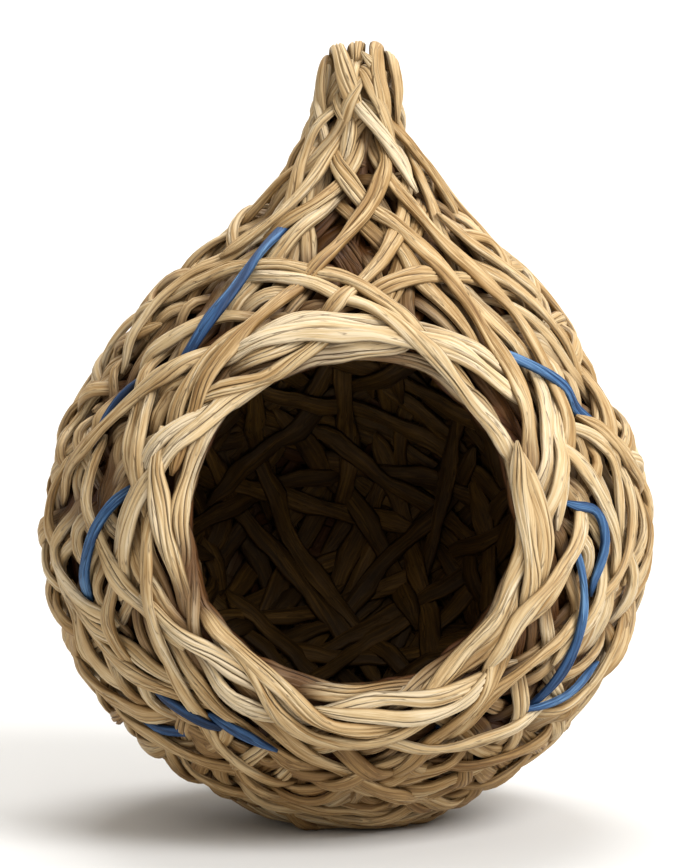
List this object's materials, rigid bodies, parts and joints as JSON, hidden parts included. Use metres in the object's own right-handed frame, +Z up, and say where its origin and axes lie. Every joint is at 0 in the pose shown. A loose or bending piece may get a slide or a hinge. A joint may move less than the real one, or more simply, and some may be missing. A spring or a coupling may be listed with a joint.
{
  "type": "empty woven bird nest",
  "caption": "Teardrop-shaped woven grass bird nest with a round plaited side entrance, a narrow looped neck and a hollow inside.",
  "frame": {"origin": "middle of the flat base that the nest stands on", "axes": "+Z up along the nest towards its looped neck, -Y out of the entrance, +X to the right seen from the entrance"},
  "size_m": [0.1343, 0.1305, 0.1755],
  "materials": {
    "straw_strand": "dry, slightly glossy split grass with dark creases along it",
    "rim_strand": "dry split grass, a little paler where it is rubbed",
    "dyed_strand": "blue dyed fibre strand, worn",
    "inner_weave": "dull brown inner weave"
  },
  "bodies": {
    "root": {"crown_loop_1": "straw_strand", "crown_loop_2": "straw_strand", "crown_loop_3": "straw_strand", "dyed_strand_back_left": "dyed_strand", "dyed_strand_back_right": "dyed_strand", "dyed_strand_low_left": "dyed_strand", "dyed_strand_low_right": "dyed_strand", "dyed_strand_shoulder_left": "dyed_strand", "dyed_strand_shoulder_right": "dyed_strand", "dyed_strand_side_left": "dyed_strand", "dyed_strand_side_right": "dyed_strand", "neck_strand_1": "straw_strand", "neck_strand_2": "straw_strand", "neck_strand_3": "straw_strand", "neck_strand_4": "straw_strand", "neck_strand_5": "straw_strand", "neck_strand_6": "straw_strand", "rim_strand_1": "rim_strand", "rim_strand_2": "rim_strand", "rim_strand_3": "rim_strand", "strand_leaning_left_01": "straw_strand", "strand_leaning_left_02": "straw_strand", "strand_leaning_left_03": "straw_strand", "strand_leaning_left_04": "straw_strand", "strand_leaning_left_05": "straw_strand", "strand_leaning_left_06": "straw_strand", "strand_leaning_left_07": "straw_strand", "strand_leaning_left_08": "straw_strand", "strand_leaning_left_09": "straw_strand", "strand_leaning_left_10": "straw_strand", "strand_leaning_right_01": "straw_strand", "strand_leaning_right_02": "straw_strand", "strand_leaning_right_03": "straw_strand", "strand_leaning_right_04": "straw_strand", "strand_leaning_right_05": "straw_strand", "strand_leaning_right_06": "straw_strand", "strand_leaning_right_07": "straw_strand", "strand_leaning_right_08": "straw_strand", "strand_leaning_right_09": "straw_strand", "strand_leaning_right_10": "straw_strand", "woven_wall": "inner_weave"}
  },
  "joints": []
}
